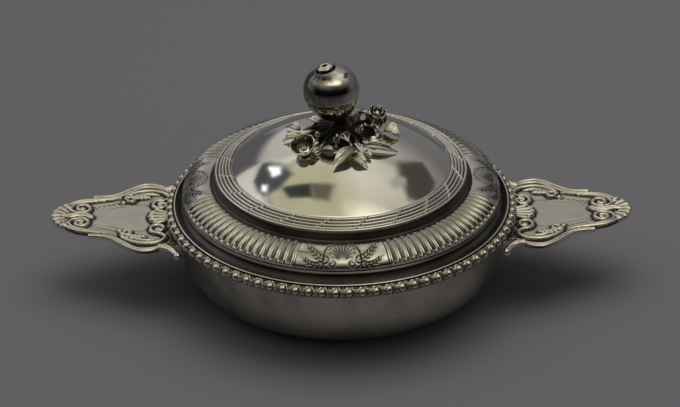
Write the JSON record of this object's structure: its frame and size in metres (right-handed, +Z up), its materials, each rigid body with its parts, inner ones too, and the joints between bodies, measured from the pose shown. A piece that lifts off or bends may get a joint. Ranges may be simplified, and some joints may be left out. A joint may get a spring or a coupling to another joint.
{
  "type": "covered broth bowl",
  "caption": "Low round covered silver bowl with two flat scrolled handles, a fluted and domed cover with moulded borders, and a fruit finial in a spray of leaves and flowers.",
  "frame": {"origin": "middle of the flat underside of the bowl", "axes": "+X along the handles towards the right-hand one, -Y towards the front of the picture, +Z up, the way the cover lifts"},
  "size_m": [0.2946, 0.1778, 0.1208],
  "materials": {
    "raised_silver": "polished, with fine wear and a soft grey tarnish",
    "cast_silver": "cast and chased, bright on the crests and dark in the recesses",
    "drawn_silver": "drawn wire and sheet, polished"
  },
  "bodies": {
    "bowl": {"bowl": "raised_silver", "handle_left": "cast_silver", "handle_right": "cast_silver"},
    "cover": {"cover_shell": "raised_silver", "ovolo_border": "cast_silver", "edge_wire": "drawn_silver", "shoulder_bead": "drawn_silver", "reed_and_tie_band": "drawn_silver", "cover_bezel": "drawn_silver", "finial_stud": "drawn_silver", "finial_washer": "drawn_silver", "finial_nut": "drawn_silver", "finial_leaf_knot": "cast_silver", "finial_fruit": "cast_silver", "fruit_crown": "cast_silver", "leaf_front_left": "cast_silver", "leaf_front_right": "cast_silver", "leaf_long_right": "cast_silver", "leaf_front_upright": "cast_silver", "leaf_centre": "cast_silver", "leaf_front_low": "cast_silver", "leaf_upright": "cast_silver", "leaf_arched": "cast_silver", "leaf_under_flower": "cast_silver", "leaf_lower_right": "cast_silver", "leaf_round_right": "cast_silver", "leaf_right_small": "cast_silver", "leaf_standing": "cast_silver", "leaf_back_left": "cast_silver", "leaf_back_right": "cast_silver", "leaf_left_inner": "cast_silver", "leaf_left_back": "cast_silver", "leaf_left_side": "cast_silver", "flower_left": "cast_silver", "flower_left_centre": "cast_silver", "flower_right": "cast_silver", "flower_right_centre": "cast_silver", "bud_front": "cast_silver", "bud_right": "cast_silver", "bud_left": "cast_silver"}
  },
  "joints": [
    {"name": "cover_lift", "type": "slide", "parent": "bowl", "child": "cover", "axis": [0, 0, 1], "range_m": [0, 0.12]}
  ]
}
